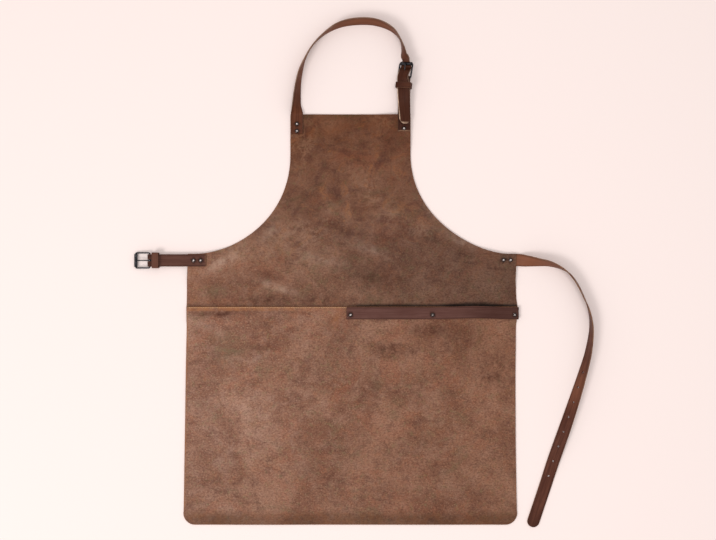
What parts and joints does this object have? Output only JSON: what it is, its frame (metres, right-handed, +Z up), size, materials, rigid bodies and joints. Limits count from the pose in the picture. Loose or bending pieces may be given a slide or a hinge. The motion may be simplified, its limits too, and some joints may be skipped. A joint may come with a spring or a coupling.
{
  "type": "leather apron",
  "caption": "Leather work apron lying flat, with a bib, a lapped skirt panel, a looped towel strip, a buckled neck strap and a roller-buckle waist strap.",
  "frame": {"origin": "middle of the underside, on the surface that the apron lies on", "axes": "+X to the right of the picture, +Y towards the bib and neck strap, +Z up out of the surface"},
  "size_m": [0.9362, 1.037, 0.0279],
  "materials": {
    "panel_leather": "distressed pull-up, cloudy brown",
    "strap_leather": "smooth dark brown with tan cut edges",
    "buckle_metal": "dark gunmetal",
    "rivet_metal": "dark domed caps"
  },
  "bodies": {
    "root": {"upper_panel": "panel_leather", "lower_panel": "panel_leather", "towel_strip": "strap_leather", "towel_rivet_1": "rivet_metal", "towel_rivet_2": "rivet_metal", "towel_rivet_3": "rivet_metal", "neck_strap": "strap_leather", "neck_rivet_1": "rivet_metal", "neck_rivet_2": "rivet_metal", "neck_buckle_strap": "strap_leather", "neck_buckle_rivet_1": "rivet_metal", "neck_buckle_rivet_2": "rivet_metal", "neck_keeper": "strap_leather", "neck_buckle_frame": "buckle_metal", "neck_roller": "buckle_metal", "neck_prong": "buckle_metal", "waist_strap": "strap_leather", "waist_rivet_1": "rivet_metal", "waist_rivet_2": "rivet_metal", "waist_buckle_strap": "strap_leather", "waist_buckle_rivet_1": "rivet_metal", "waist_buckle_rivet_2": "rivet_metal", "waist_keeper": "strap_leather"},
    "waist_buckle": {"waist_buckle_frame": "buckle_metal"},
    "waist_roller": {"waist_roller": "buckle_metal"},
    "waist_prong": {"waist_prong": "buckle_metal"}
  },
  "joints": [
    {"name": "waist_buckle_swing", "type": "hinge", "parent": "root", "child": "waist_buckle", "pos_m": [-0.43571, 0.02809, 0.00635], "axis": [0, 1, 0], "range_deg": [-60, 40]},
    {"name": "waist_prong_lift", "type": "hinge", "parent": "waist_buckle", "child": "waist_prong", "pos_m": [-0.43571, 0.02809, 0.00635], "axis": [0, 1, 0], "range_deg": [0, 62]},
    {"name": "waist_roller_spin", "type": "hinge", "parent": "waist_buckle", "child": "waist_roller", "pos_m": [-0.46457, 0.02809, 0.0035], "axis": [0, 1, 0], "continuous": true}
  ]
}
